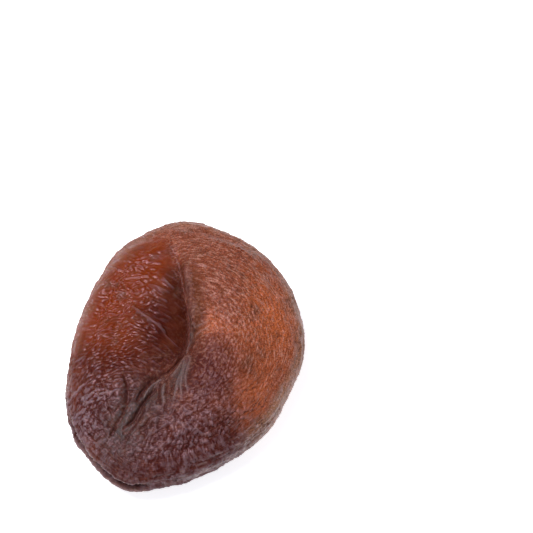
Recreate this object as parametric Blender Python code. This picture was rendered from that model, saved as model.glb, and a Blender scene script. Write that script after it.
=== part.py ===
"""A whole dried apricot, stoned before drying, lying on its underside.

It grew as one piece, so it is one closed solid. The stone was squeezed out through a slit in the
rim, and the skin collapsed into a deep crease between two lobes. Lengths are in millimetres until
the mesh is written, and MM turns them into Blender's metres. +X is across the fruit, +Y along it,
+Z up, and the origin is on the resting face, under the middle of the fruit.
"""

import math

import bmesh
import bpy
import numpy as np
from mathutils import Vector, noise

MM = 0.001

# The rim seen from above: its radius every 22.5 degrees, counterclockwise from +X.
RIM_RADII = (
    16.3, 17.1, 18.2, 19.0, 20.1, 18.8, 16.4, 15.2, 15.4, 17.0, 18.7, 19.9, 17.4, 15.9, 15.3, 15.2,
)
# Height of the rim's widest line above the ground, every 45 degrees.
RIM_HEIGHTS = (4.9, 5.2, 5.0, 4.8, 4.6, 4.3, 4.3, 4.6)
ROUNDING = 2.7  # power of the rim's section: 2 is an ellipse, more is squarer
TOP_SHARE = 0.82  # share of the radius that the top and bottom grids cover, along X and Y
CORNERING = 0.6  # how much those square grids are rounded off: 1 makes them discs

# The flat spot it rests on, and how far the underside rises from there to the rim.
REST_CENTRE = (0.6, 0.0)
REST_FADE = (4.55, 8.45)  # distances from its centre between which the furrow and wrinkles rise
UNDER_RISE = 1.5
UNDER_SPAN = (5.2, 19.0)  # distances from its centre between which the underside rises
UNDER_SINK = 0.15  # depth of the underside below the ground before the spot is cut flat
UNDER_FURROW = 0.5  # the crease's trace on the underside
FURROW_WIDTH = 2.6

# The two lobes: level of each, then their lumps and hollows as rise, centre, half widths
# and turn in degrees.
LEFT_LEVEL = 8.3
RIGHT_LEVEL = 8.9
LEFT_SWELLS = (
    (-1.0, (-8.6, 7.0), (4.0, 7.0), -25.0),
    (1.3, (-9.0, -7.0), (4.6, 5.6), 25.0),
    (0.9, (-5.0, -14.0), (5.0, 3.5), 25.0),
)
RIGHT_SWELLS = (
    (2.5, (7.0, 7.0), (8.0, 10.0), -10.0),
    (1.4, (6.0, -8.0), (7.0, 7.0), 0.0),
)

# The crease, from the rim through the pit where the stone was, and on towards the slit: its
# route, and at each point its depth, the half width of either wall, and the lip's lean over it.
CREASE_ROUTE = (
    (-2.8, 20.0), (-2.0, 17.3), (-0.8, 13.9), (0.0, 10.6), (0.7, 7.4), (1.1, 4.4),
    (0.8, 1.4), (-0.8, -1.8), (-3.2, -5.0), (-5.4, -8.4), (-7.0, -11.6), (-8.0, -15.0),
)
CREASE_DEPTHS = (0.0, 0.3, 1.0, 2.0, 2.8, 3.2, 3.1, 1.8, 0.5, 0.1, 0.0, 0.0)
LEFT_WALLS = (4.0, 3.4, 2.9, 2.7, 2.9, 3.2, 3.4, 3.2, 2.8, 2.4, 2.0, 2.0)
RIGHT_WALLS = (3.0, 2.4, 1.5, 0.8, 0.6, 0.6, 1.2, 2.2, 2.8, 2.4, 2.0, 2.0)
LIP_LEANS = (0.0, 0.1, 0.3, 0.5, 0.6, 0.6, 0.3, 0.0, 0.0, 0.0, 0.0, 0.0)
LIP_PLACE = 1.3  # how far from the crease's middle the lean is greatest
LIP_WIDTH = 1.4
CREASE_PULL = 0.6  # how much closer the grid's lines stand in the crease
PULL_WIDTH = 4.0
WALL_POWER = 1.5  # how full the crease's walls are: 2 is a bell

# Single folds of the skin: depth (a ridge is negative), half width, route. Their ends fade over
# a share of the first and last leg.
FOLD_FADE = 0.8
FOLDS = (
    (0.35, 0.50, ((-7.6, -3.4), (-7.3, -5.8), (-7.5, -8.0), (-8.2, -10.4), (-10.2, -13.4))),
    (0.40, 0.50, ((-3.0, -5.2), (-4.8, -7.3), (-6.0, -9.4), (-7.2, -11.6), (-8.1, -14.4))),
    (0.30, 0.45, ((-1.8, -3.0), (-4.2, -4.6), (-5.6, -6.6), (-6.3, -8.0))),
    (0.25, 0.45, ((-1.3, -3.6), (-1.1, -5.3), (-1.4, -8.5))),
    (0.25, 0.45, ((0.6, -0.7), (0.6, -2.7), (0.8, -6.5))),
    (-0.35, 0.45, ((-7.4, 7.2), (-5.8, 5.5), (-4.3, 4.4), (-2.0, 2.6))),
    (-0.25, 0.45, ((-5.0, 10.2), (-3.2, 9.2), (-1.4, 8.3))),
    (-0.25, 0.45, ((-3.4, 11.6), (-2.3, 10.1), (-1.0, 9.1))),
    (0.30, 0.45, ((1.0, 12.5), (1.9, 9.4), (2.4, 6.1), (2.3, 3.2))),
)

# Folds along the rim: depth (a ridge is negative), latitude and half width in degrees, and the
# bearings of their ends and middle.
SLIT_SPAN = (208.0, 236.0, 262.0)
BEAD_SPAN = (96.0, 138.0, 190.0)
SLIT_LATITUDE = 5.0
BEAD_LATITUDE = 15.0
RIM_FOLDS = (
    (1.00, SLIT_LATITUDE, 3.6, SLIT_SPAN),
    (-0.25, SLIT_LATITUDE + 8.6, 5.4, SLIT_SPAN),
    (-0.25, SLIT_LATITUDE - 8.6, 5.4, SLIT_SPAN),
    (-0.35, BEAD_LATITUDE, 9.0, BEAD_SPAN),
    (0.65, BEAD_LATITUDE + 17.0, 7.0, BEAD_SPAN),
)

# Coarse wrinkles alongside the rim: height, spacing across them, length along them.
WRINKLE_HEIGHT = 0.30
WRINKLE_SPACING = 2.6
WRINKLE_LENGTH = 7.0
WRINKLE_FADE = (0.3, 0.8)  # shares of the radius between which they rise on the upper skin

GRID_ACROSS = 42
GRID_ROWS = 11


def smooth_curve(a, b, c, d, share):
    """The part between b and c of a smooth curve through four evenly spaced values."""
    return b + 0.5 * share * (
        c - a + share * (2 * a - 5 * b + 4 * c - d + share * (3 * (b - c) + d - a))
    )


def around(values, bearing):
    """A size given at even bearings, read at any bearing in radians."""
    place = (bearing / math.tau * len(values)) % len(values)
    step = np.floor(place).astype(int)
    ring = np.asarray(values, float)
    near = (ring[(step + k) % len(values)] for k in (-1, 0, 1, 2))
    return smooth_curve(*near, place - step)


def along(values, place):
    """A size given at a route's points, read at any place along it."""
    line = np.asarray(values, float)
    step = np.clip(place.astype(int), 0, len(values) - 2)
    near = (line[np.clip(step + k, 0, len(values) - 1)] for k in (-1, 0, 1, 2))
    return smooth_curve(*near, place - step)


def follow(points, x, y, steps=8):
    """Signed distance from the smooth curve through points, positive on its left hand as it
    runs, and the place along it.
    """
    place = np.linspace(0, len(points) - 1, (len(points) - 1) * steps + 1)
    curve = np.stack([along(values, place) for values in zip(*points)], 1)
    start, leg = curve[:-1], np.diff(curve, axis=0)
    dx = x[:, None] - start[:, 0]
    dy = y[:, None] - start[:, 1]
    share = np.clip((dx * leg[:, 0] + dy * leg[:, 1]) / (leg**2).sum(1), 0, 1)
    gap = np.hypot(dx - share * leg[:, 0], dy - share * leg[:, 1])
    rows, nearest = np.arange(len(x)), gap.argmin(1)
    side = np.sign(leg[nearest, 0] * dy[rows, nearest] - leg[nearest, 1] * dx[rows, nearest])
    return side * gap[rows, nearest], (nearest + share[rows, nearest]) / steps


def bell(offset, width):
    """1 in the middle, falling smoothly to nothing a few widths away."""
    return np.exp(-((offset / width) ** 2))


def ramp(value, low, high):
    """0 below low, 1 above high, smooth between."""
    share = np.clip((value - low) / (high - low), 0, 1)
    return share * share * (3 - 2 * share)


def lobe(level, swells, x, y):
    """Height of one lobe over the plan, without the crease."""
    height = np.full_like(x, level)
    for rise, (centre_x, centre_y), widths, turn in swells:
        c, s = math.cos(math.radians(turn)), math.sin(math.radians(turn))
        dx, dy = x - centre_x, y - centre_y
        height += rise * bell(dx * c + dy * s, widths[0]) * bell(dy * c - dx * s, widths[1])
    return height


def crown(x, y, gap, place):
    """Height of the upper skin over the plan: two lobes, and the crease between them."""
    left = lobe(LEFT_LEVEL, LEFT_SWELLS, x, y)
    right = lobe(RIGHT_LEVEL, RIGHT_SWELLS, x, y)
    floor = (left + right) / 2 - along(CREASE_DEPTHS, place)
    wall = np.where(gap < 0, along(LEFT_WALLS, place), along(RIGHT_WALLS, place))
    inside = np.exp(-(np.abs(gap / wall) ** WALL_POWER))
    height = np.where(gap < 0, left, right)
    return height + (floor - height) * inside


def fold_depth(x, y):
    """How deep the single folds press into the upper skin. Ridges are negative."""
    depth = np.zeros_like(x)
    for fold, width, points in FOLDS:
        gap, place = follow(points, x, y)
        last = len(points) - 1
        taper = ramp(place, 0, FOLD_FADE) * (1 - ramp(place, last - FOLD_FADE, last))
        depth += fold * taper * bell(gap, width)
    return depth


def wrinkles(bearing, fall, reach):
    """Coarse wrinkles, long alongside the rim: -1 to 1."""
    return np.array([
        noise.noise(Vector((
            r * math.cos(b) / WRINKLE_LENGTH,
            r * math.sin(b) / WRINKLE_LENGTH,
            r * f / WRINKLE_SPACING,
        )))
        for b, f, r in zip(bearing, fall, reach)
    ])


def rim_band(bearing, fall, latitude, width, span):
    """1 along the middle of a band of the rim, fading to its edges and to its two ends."""
    turn = np.degrees(bearing) % 360
    first, middle, last = span
    share = ramp(turn, first, (first + middle) / 2) * (1 - ramp(turn, (middle + last) / 2, last))
    return share * bell(90 - np.degrees(fall) - latitude, width)


def fruit(u, v, w):
    """Points of the skin, in millimetres, for points on a cube from -1 to 1 each way."""
    round_x = u * np.sqrt(1 - CORNERING * v * v / 2)
    round_y = v * np.sqrt(1 - CORNERING * u * u / 2)
    bearing = np.arctan2(round_y, round_x)
    # Fall is the angle from straight up at the crown, over the rim, to straight down.
    top = np.arcsin((TOP_SHARE * np.hypot(round_x, round_y)) ** (ROUNDING / 2))
    side = top + (math.pi - 2 * top) * (1 - w) / 2
    fall = np.where(w > 0.999, top, np.where(w < -0.999, math.pi - top, side))
    out = np.abs(np.sin(fall)) ** (2 / ROUNDING)
    up = np.abs(np.cos(fall)) ** (2 / ROUNDING)
    upper = fall < math.pi / 2

    reach = around(RIM_RADII, bearing)
    x, y = reach * out * np.cos(bearing), reach * out * np.sin(bearing)
    route_x, route_y = np.transpose(CREASE_ROUTE)[:, ::-1]
    off = x - np.interp(y, route_y, route_x)
    x = x - CREASE_PULL * off * bell(off, PULL_WIDTH) * up * upper

    gap, place = follow(CREASE_ROUTE, x, y)
    rim = around(RIM_HEIGHTS, bearing)
    top_height = crown(x, y, gap, place) - fold_depth(x, y)
    from_rest = np.hypot(x - REST_CENTRE[0], y - REST_CENTRE[1])
    clear_of_rest = ramp(from_rest, *REST_FADE)
    under_height = UNDER_RISE * ramp(from_rest, *UNDER_SPAN) - UNDER_SINK
    under_height += UNDER_FURROW * bell(gap, FURROW_WIDTH) * clear_of_rest
    z = np.where(upper, rim + (top_height - rim) * up, rim - (rim - under_height) * up)

    # The slit, its lips and the bead stand across the rim's outward direction.
    push = -sum(depth * rim_band(bearing, fall, *where) for depth, *where in RIM_FOLDS)
    wave = WRINKLE_HEIGHT * wrinkles(bearing, fall, reach)
    wave *= np.where(upper, ramp(out, *WRINKLE_FADE), clear_of_rest)
    outward = push + wave * np.sin(fall)
    x, y = x + outward * np.cos(bearing), y + outward * np.sin(bearing)
    z = z + wave * np.cos(fall)

    # The lip of the right lobe leans over the crease.
    x = x - along(LIP_LEANS, place) * bell(gap - LIP_PLACE, LIP_WIDTH) * upper
    return x, y, np.maximum(z, 0)


def cube_grid(across, rows):
    """A cube whose faces are even grids: across by across on top, across by rows on the sides."""
    grid = bmesh.new()
    bmesh.ops.create_cube(grid, size=2.0)
    upright = [e for e in grid.edges if abs(e.verts[0].co.z - e.verts[1].co.z) > 1]
    bmesh.ops.subdivide_edges(grid, edges=upright, cuts=rows - 1, use_grid_fill=True)
    level = [e for e in grid.edges if abs(e.verts[0].co.z - e.verts[1].co.z) < 0.001]
    bmesh.ops.subdivide_edges(grid, edges=level, cuts=across - 1, use_grid_fill=True)
    return grid


def skin_material():
    material = bpy.data.materials.new("dried_skin")
    material.use_nodes = True
    shader = material.node_tree.nodes["Principled BSDF"]
    shader.inputs["Base Color"].default_value = (0.16, 0.045, 0.02, 1)
    shader.inputs["Roughness"].default_value = 0.45
    shader.inputs["Metallic"].default_value = 0.0
    return material


def make_apricot(collection):
    grid = cube_grid(GRID_ACROSS, GRID_ROWS)
    cube = np.array([v.co for v in grid.verts])
    x, y, z = fruit(*cube.T)
    x -= (x.max() + x.min()) / 2
    y -= (y.max() + y.min()) / 2
    for vert, place in zip(grid.verts, np.stack((x, y, z), 1) * MM):
        vert.co = place
    mesh = bpy.data.meshes.new("apricot")
    grid.to_mesh(mesh)
    grid.free()
    mesh.shade_smooth()
    mesh.materials.append(skin_material())
    collection.objects.link(bpy.data.objects.new("apricot", mesh))


def main():
    for old in list(bpy.data.objects):
        bpy.data.objects.remove(old)
    collection = bpy.data.collections.new("apricot")
    bpy.context.scene.collection.children.link(collection)
    make_apricot(collection)


main()
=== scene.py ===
"""One dried apricot on a pale studio floor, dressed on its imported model.

The skin is one mesh. Its large form comes from the model's own formulas on a finer grid. Fine
wrinkles are then grown on it the way drying skin buckles: each point pushes up or down against
its neighbours until ridges of one spacing are left, drawn out along the way the skin shrank.
Single folds, pleats, cells of leathery skin and soft lumps are added to them by formula.
Lengths are in millimetres until the mesh is written, and MM turns them into metres.
"""

import math
from collections import namedtuple

import bmesh
import bpy
import numpy as np
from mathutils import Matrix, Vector, noise


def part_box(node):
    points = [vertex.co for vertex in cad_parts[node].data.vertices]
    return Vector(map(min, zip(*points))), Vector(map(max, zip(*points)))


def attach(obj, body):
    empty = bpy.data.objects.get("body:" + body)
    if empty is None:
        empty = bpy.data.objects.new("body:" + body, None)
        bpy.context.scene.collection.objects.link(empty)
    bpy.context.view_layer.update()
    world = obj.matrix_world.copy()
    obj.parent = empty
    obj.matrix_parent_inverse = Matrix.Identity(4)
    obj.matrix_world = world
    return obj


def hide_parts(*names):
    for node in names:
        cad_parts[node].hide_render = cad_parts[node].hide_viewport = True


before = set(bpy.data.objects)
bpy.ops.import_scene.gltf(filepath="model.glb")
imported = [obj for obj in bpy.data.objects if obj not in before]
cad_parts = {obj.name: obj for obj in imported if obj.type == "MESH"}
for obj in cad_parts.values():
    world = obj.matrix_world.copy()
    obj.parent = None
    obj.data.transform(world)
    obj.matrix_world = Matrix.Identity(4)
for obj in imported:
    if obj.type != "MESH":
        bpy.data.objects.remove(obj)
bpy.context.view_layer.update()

bl_info = {
    "name": "Dried Apricot",
    "version": (1, 0, 0),
    "blender": (4, 5, 0),
    "location": "View3D > Sidebar > Apricot",
    "description": "Builds one stoned dried apricot and a plain studio around it",
    "category": "Add Mesh",
}

MM = 0.001
NODE = "apricot"

# The rim seen from above: its radius every 22.5 degrees, counterclockwise from +X.
RIM_RADII = (
    16.3, 17.1, 18.2, 19.0, 20.1, 18.8, 16.4, 15.2, 15.4, 17.0, 18.7, 19.9, 17.4, 15.9, 15.3, 15.2,
)
# Height of the rim's widest line above the ground, every 45 degrees.
RIM_HEIGHTS = (4.9, 5.2, 5.0, 4.8, 4.6, 4.3, 4.3, 4.6)
ROUNDING = 2.7  # power of the rim's section: 2 is an ellipse, more is squarer
TOP_SHARE = 0.82  # share of the radius that the top and bottom grids cover, along X and Y
CORNERING = 0.6  # how much those square grids are rounded off: 1 makes them discs

# The flat spot it rests on, and how far the underside rises from there to the rim.
REST_CENTRE = (0.6, 0.0)
REST_FADE = (4.55, 8.45)  # distances from its centre between which the furrow and wrinkles rise
UNDER_RISE = 1.5
UNDER_SPAN = (5.2, 19.0)  # distances from its centre between which the underside rises
UNDER_SINK = 0.15  # depth of the underside below the ground before the spot is cut flat
UNDER_FURROW = 0.5  # the crease's trace on the underside
FURROW_WIDTH = 2.6

# The two lobes: level of each, then their lumps and hollows as rise, centre, half widths
# and turn in degrees.
LEFT_LEVEL = 8.3
RIGHT_LEVEL = 8.9
LEFT_SWELLS = (
    (-1.0, (-8.6, 7.0), (4.0, 7.0), -25.0),
    (1.3, (-9.0, -7.0), (4.6, 5.6), 25.0),
    (0.9, (-5.0, -14.0), (5.0, 3.5), 25.0),
)
RIGHT_SWELLS = (
    (2.5, (7.0, 7.0), (8.0, 10.0), -10.0),
    (1.4, (6.0, -8.0), (7.0, 7.0), 0.0),
)

# The crease, from the rim through the pit where the stone was, and on towards the slit: its
# route, and at each point its depth, the half width of either wall, and the lip's lean over it.
CREASE_ROUTE = (
    (-2.8, 20.0), (-2.0, 17.3), (-0.8, 13.9), (0.0, 10.6), (0.7, 7.4), (1.1, 4.4),
    (0.8, 1.4), (-0.8, -1.8), (-3.2, -5.0), (-5.4, -8.4), (-7.0, -11.6), (-8.0, -15.0),
)
CREASE_DEPTHS = (0.0, 0.3, 1.0, 2.0, 2.8, 3.2, 3.1, 1.8, 0.5, 0.1, 0.0, 0.0)
LEFT_WALLS = (4.0, 3.4, 2.9, 2.7, 2.9, 3.2, 3.4, 3.2, 2.8, 2.4, 2.0, 2.0)
RIGHT_WALLS = (3.0, 2.4, 1.5, 0.8, 0.6, 0.6, 1.2, 2.2, 2.8, 2.4, 2.0, 2.0)
LIP_LEANS = (0.0, 0.1, 0.3, 0.5, 0.6, 0.6, 0.3, 0.0, 0.0, 0.0, 0.0, 0.0)
LIP_PLACE = 1.3  # how far from the crease's middle the lean is greatest
LIP_WIDTH = 1.4
CREASE_PULL = 0.6  # how much closer the grid's lines stand in the crease
PULL_WIDTH = 4.0
WALL_POWER = 1.5  # how full the crease's walls are: 2 is a bell

# Single folds of the skin: depth (a ridge is negative), half width, route. Their ends fade over
# a share of the first and last leg.
FOLD_FADE = 0.8
FOLDS = (
    (0.35, 0.50, ((-7.6, -3.4), (-7.3, -5.8), (-7.5, -8.0), (-8.2, -10.4), (-10.2, -13.4))),
    (0.40, 0.50, ((-3.0, -5.2), (-4.8, -7.3), (-6.0, -9.4), (-7.2, -11.6), (-8.1, -14.4))),
    (0.30, 0.45, ((-1.8, -3.0), (-4.2, -4.6), (-5.6, -6.6), (-6.3, -8.0))),
    (0.25, 0.45, ((-1.3, -3.6), (-1.1, -5.3), (-1.4, -8.5))),
    (0.25, 0.45, ((0.6, -0.7), (0.6, -2.7), (0.8, -6.5))),
    (-0.35, 0.45, ((-7.4, 7.2), (-5.8, 5.5), (-4.3, 4.4), (-2.0, 2.6))),
    (-0.25, 0.45, ((-5.0, 10.2), (-3.2, 9.2), (-1.4, 8.3))),
    (-0.25, 0.45, ((-3.4, 11.6), (-2.3, 10.1), (-1.0, 9.1))),
    (0.30, 0.45, ((1.0, 12.5), (1.9, 9.4), (2.4, 6.1), (2.3, 3.2))),
)

# Folds along the rim: depth (a ridge is negative), latitude and half width in degrees, and the
# bearings of their ends and middle.
SLIT_SPAN = (208.0, 236.0, 262.0)
BEAD_SPAN = (96.0, 138.0, 190.0)
SLIT_LATITUDE = 5.0
BEAD_LATITUDE = 15.0
RIM_FOLDS = (
    (1.00, SLIT_LATITUDE, 3.6, SLIT_SPAN),
    (-0.25, SLIT_LATITUDE + 8.6, 5.4, SLIT_SPAN),
    (-0.25, SLIT_LATITUDE - 8.6, 5.4, SLIT_SPAN),
    (-0.35, BEAD_LATITUDE, 9.0, BEAD_SPAN),
    (0.65, BEAD_LATITUDE + 17.0, 7.0, BEAD_SPAN),
)

# Coarse wrinkles alongside the rim: height, spacing across them, length along them.
SWELL_HEIGHT = 0.30
SWELL_SPACING = 2.6
SWELL_LENGTH = 7.0
SWELL_FADE = (0.3, 0.8)  # shares of the radius between which they rise on the upper skin

# Grid of the fine skin, and how many times its unseen underside is thinned out.
GRID_ACROSS = 240
GRID_ROWS = 38
FACE_LEVEL = 0.999  # beyond this a point is on the grid's top or bottom face, at 1 or -1
UNDER_THINNING = 4

# Kinds of fine skin: spacing of its wrinkles, how much longer than wide they are, their height,
# how narrow their crests are, how strongly the skin buckled, and how far it went lumpy.
Skin = namedtuple("Skin", "spacing stretch height narrowness drive lumpy")
FELTED = Skin(0.44, 2.4, 0.12, 1.0, 0.7, 0.0)
COBBLED = Skin(0.64, 1.4, 0.07, 0.8, 0.6, 0.5)
FANNED = Skin(0.50, 2.4, 0.06, 0.8, 0.5, 0.0)
GLASSY = Skin(0.95, 2.6, 0.13, 2.0, 0.6, 0.0)

# Where they lie, as centre, half widths and turn in degrees. The rest is felted.
GLASSY_REGION = ((-8.0, 6.5), (7.6, 10.0), -22.0)
FANNED_REGION = ((-4.2, -7.2), (3.4, 7.5), -33.0)
COBBLED_REGIONS = (
    ((-11.5, -8.5), (5.5, 6.5), 10.0),
    ((1.2, -12.5), (8.6, 6.0), 15.0),
)
# How strongly each kind claims its place against the others, and how far a region's middle is
# levelled off at full strength.
GLASSY_CLAIM, FANNED_CLAIM, COBBLED_CLAIM, FELTED_CLAIM = 8, 5, 4, 0.8
GLASSY_FULLNESS, FANNED_FULLNESS = 1.8, 1.4
# Where they fade out, between two values: glassy and fanned skin towards the rim, by share of its
# radius, cobbled skin over the rim, by fall in radians, glassy skin at the crease, by gap, and at
# its far end, and the fan towards the pit, both along y.
TOP_FADE = (0.90, 0.975)
OVER_FADE = (1.4, 1.8)
GLASSY_EDGE = (-0.2, 1.0)
GLASSY_END = (14.5, 18.5)
FAN_END = (0, 2)
EDGE_BLUR = 1.6  # how much softer the edge at the crease gets between these places along y
BLUR_FADE = (5, 14)
PIT = (0.5, 1.4)  # the fan's wrinkles run out from this
ARCH_CENTRE = (-7.5, -3.0)  # and the left lobe's run round this, from ARCH_LEAST away
ARCH_LEAST = 8.0
COBBLED_PULL = 0.3  # how far cobbled skin follows the fan, whose wrinkles end in it

# How uneven the drying was: share of spacing, turn in radians and drive, and patch sizes.
SPACING_SPREAD = 0.5
TURN_SPREAD = 0.9
DRIVE_SPREAD = 0.8
SPACING_PATCH = 2.4
TURN_PATCH = 3.0
DRIVE_PATCH = 1.6

# Growth of the wrinkles.
GROWTH_SEED = 11
GROWTH_STEPS = 360
GROWTH_STEP = 0.011
ROUGH_START = 0.35
STIFFNESS_LIMIT = 6.0  # keeps the growth steady where the grid is much finer than a wrinkle

# Calmer places: the crease's left wall, by the gap of its middle and half width, the rim, by
# the share of the wrinkles that it lacks and where that comes in, and, without strewn folds, the
# crease itself.
WALL_CALM = (-1.5, 2.2)
RIM_CALM = 0.6
RIM_CALM_FADE = (0.85, 0.97)
STREWN_CALM = 1.2

# Pleats alongside the rim: where they come in, height, spacing across them, length along them.
PLEAT_FADE = (0.80, 0.95)
PLEAT_HEIGHT = 0.09
PLEAT_SPACING = 0.75
PLEAT_LENGTH = 5.0
# Pale lines of dry skin along the rim: their spacing and length.
LINE_SPACING = 0.9
LINE_LENGTH = 6.0

# The grey tongue of skin that runs down from the pit, and thin grey ridges: the tongue's edges
# and fibres, two of the fan, the knot at the pit's edge and the two rays that leave it.
TONGUE = ((0.9, -0.2), (0.4, -1.8), (0.1, -3.4), (-0.6, -5.6))
GREY_RIDGES = (
    ((0.6, -0.5), (0.1, -1.1), (-0.3, -1.9), (-0.9, -3.0), (-1.7, -3.9)),
    ((0.7, -0.6), (1.1, -1.4), (0.9, -2.3), (0.5, -3.6), (0.5, -5.4), (0.8, -6.6)),
    ((0.4, -1.3), (0.2, -2.0), (-0.1, -3.6), (-0.6, -5.0), (-1.0, -6.6), (-1.2, -7.8)),
    ((0.7, -1.8), (0.3, -2.9), (0.0, -4.4), (-0.2, -5.9), (0.0, -7.5)),
    ((-2.5, -4.2), (-3.4, -4.7), (-4.0, -5.2), (-4.6, -6.0), (-5.2, -7.2)),
    ((-2.3, -5.0), (-2.5, -5.7), (-2.6, -6.9), (-2.2, -8.3)),
    ((1.3, 3.4), (1.8, 3.6), (2.1, 3.0), (2.2, 2.5)),
    ((1.3, 3.4), (1.4, 2.8), (1.6, 2.2), (1.4, 1.8), (1.1, 1.2), (0.7, 0.5), (0.6, -0.4)),
    ((2.2, 2.6), (2.8, 2.7), (3.5, 3.0), (3.9, 3.3)),
    ((1.9, 1.7), (2.6, 1.7), (3.4, 2.1), (3.8, 2.6)),
)
GREY_RIDGE_HEIGHT = 0.15
GREY_RIDGE_WIDTH = 0.12
# Single fine folds: depth (a ridge is negative), half width, route. Those of the fan and the
# tongue, then the lip and the long ridges of the glassy lobe. Their ends fade as the FOLDS do.
FINE_FADE = 0.7
FINE_FOLDS = (
    (0.15, 0.18, (
        (-8.2, -3.7), (-7.5, -4.9), (-7.3, -6.9), (-7.8, -9.2), (-9.2, -11.4), (-10.2, -13.4),
    )),
    (0.14, 0.16, ((-10.0, -7.0), (-9.8, -8.4), (-8.9, -9.9))),
    (0.28, 0.18, ((-3.0, -5.2), (-4.8, -7.3), (-6.0, -9.4), (-6.5, -10.3), (-8.1, -11.6))),
    (0.24, 0.17, ((-5.2, -8.2), (-5.2, -9.1), (-6.0, -10.8), (-7.2, -12.4), (-8.0, -14.5))),
    (0.24, 0.16, ((-4.1, -9.8), (-4.8, -11.0), (-5.8, -11.7))),
    (0.24, 0.17, (
        (0.3, 0.2), (-0.9, -1.7), (-1.9, -3.0), (-4.2, -4.6), (-5.6, -6.6), (-6.3, -8.0),
    )),
    (-0.24, 0.45, TONGUE),
    (0.18, 0.15, ((-2.9, -4.5), (-3.1, -5.9), (-3.0, -7.4), (-2.8, -8.5))),
    (0.18, 0.15, ((-2.1, -4.2), (-2.1, -5.6), (-2.2, -7.3))),
    (-0.20, 0.45, ((0.5, 12.4), (1.1, 10.2), (1.4, 7.8), (1.7, 5.2), (1.7, 3.4))),
    (-0.24, 0.17, ((-7.1, 6.9), (-5.8, 5.5), (-4.5, 4.5), (-3.1, 3.4), (-2.3, 2.7))),
    (-0.20, 0.16, ((-4.6, 10.0), (-3.2, 9.2), (-1.7, 8.5))),
    (-0.20, 0.16, ((-3.1, 11.3), (-2.3, 10.1), (-1.2, 9.2))),
)

# Short folds strewn along the skin's grain: how many are tried, region, the ranges of their
# rise, half width and length, and how far apart. Ridges on the glassy lobe, cracks down the fan.
STREWN_SEED = 5
Strewn = namedtuple("Strewn", "tries region rise width length apart")
RIDGES = Strewn(
    3000, ((-9.0, 4.2), (6.2, 10.0), -20.0), (0.04, 0.13), (0.09, 0.13), (1.2, 4.8), 0.72
)
CRACKS = Strewn(
    300, ((-5.0, -8.2), (3.0, 6.5), -33.0), (-0.14, -0.05), (0.10, 0.15), (0.8, 2.6), 0.55
)
STREWN_CLEAR = 0.4  # how far apart two in line are kept
STREWN_SPREAD = 0.55  # how widely the places scatter, as a share of the region's half widths
BEND_SPREAD = 0.16  # how far each turns off the grain, in radians

# Soft lumps between the wrinkles' scale and the lobes', and grit finer than a wrinkle.
LUMP_HEIGHT = 0.16
LUMP_SIZE = 1.5
GRIT_HEIGHT = 0.06
GRIT_SIZE = 0.36

# Flat-topped cells of leathery skin: their size, the height of their tops over the grooves, how
# much the tops differ in level, how steeply they tip, the share of a cell that its groove takes,
# and how often and how far the edges wander, in cells.
CELL_SIZE = 0.70
CELL_HEIGHT = 0.15
CELL_STEP = 0.14
CELL_TIP = 0.38
GROOVE_SHARE = 0.22
CELL_WARPS = ((0.9, 0.35), (2.7, 0.12))
CELL_SEED = 5
CREST_SPAN = 0.24  # from the bottoms of the fine folds to their tops, for the colours
# How much painted sheen, a pinkish highlight put into the colour, goes on the crests: everywhere,
# and more where the skin is leathery or glassy.
CREST_SHEEN = 0.12
LEATHERY_SHEEN = 0.24
GLASSY_SHEEN = 0.18

# Patches of colour on the upper skin: strength, centre, half widths, turn in degrees. They fade
# over FALL_FADE radians and end at a fall, the dusky ones' further under the rim.
FALL_FADE = 0.5
LAST_FALL = 1.9
DUSK_FALL = 3.0
# Glow: the flesh's orange, painted brighter where light shines through the thin flesh.
GLOW_PATCHES = (
    (0.75, (9.4, -7.0), (3.0, 5.6), -14.0),
    (1.0, (12.2, 4.6), (3.2, 6.4), 16.0),
    (0.9, (3.6, 3.0), (1.6, 2.0), 0.0),
    (0.5, (7.0, 1.0), (3.0, 3.0), 0.0),
)
AMBER_PATCHES = (
    (1.0, (-9.6, 8.6), (3.6, 7.5), -30.0),
    (1.0, (-4.5, 13.2), (3.4, 4.5), -25.0),
    (0.6, (-9.0, 2.0), (4.0, 4.0), 0.0),
)
GARNET_PATCHES = (
    (1.0, (-4.0, 4.0), (4.0, 7.5), 0.0),
    (1.0, (-10.5, -1.2), (7.5, 4.2), 0.0),
    (1.0, (3.0, -4.2), (5.2, 6.4), 0.0),
)
DUSK_PATCHES = (
    (1.0, (-12.5, -9.0), (6.0, 6.0), 0.0),
    (1.0, (-1.0, -15.5), (10.0, 6.5), 8.0),
    (0.30, (2.4, -10.0), (3.6, 4.6), 0.0),
    (0.8, (-5.0, -7.5), (5.0, 4.5), 0.0),
    (1.0, (-8.0, -17.0), (8.0, 5.0), -30.0),
    (0.8, (4.0, -14.5), (7.0, 4.0), 20.0),
)
# How tan the rim is, every 45 degrees of bearing: partly the dry skin's tan, partly painted light
# that makes the front right of the rim paler.
RIM_TAN_AND_LIGHT = (0.7, 0.5, 0.4, 0.35, 0.15, 0.15, 0.35, 1.0)
# Where the crests get more painted sheen than their kind of skin gives them.
SHEEN_PATCHES = (
    (0.28, (-12.2, -8.0), (4.8, 5.2), 0.0),
)
BLOOM_PATCHES = (
    (0.8, (-0.5, -3.8), (1.2, 2.9), -14.0),
    (0.8, (-4.2, -7.0), (2.6, 3.6), -32.0),
    (1.0, (-7.6, -11.0), (2.8, 4.4), -16.0),
    (0.8, (1.5, 2.2), (0.6, 1.5), 0.0),
)

# Colours along the crease: gaps between which the left lobe's colours come in, the half width of
# the painted shade down its bottom, the lip's gap and half width, where along y each comes and
# goes, and from where on garnet keeps to the left lobe.
LEFT_EDGE = (-1.2, 0.8)
CREASE_SHADE_WIDTH = 2.4
CREASE_SHADE_ENDS = (-3, 0, 10, 16)
LIP_GAP = 1.5
LIP_SPREAD = 1.0
LIP_ENDS = (0, 3, 9, 15)
GARNET_SPLIT = 1.4
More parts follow.
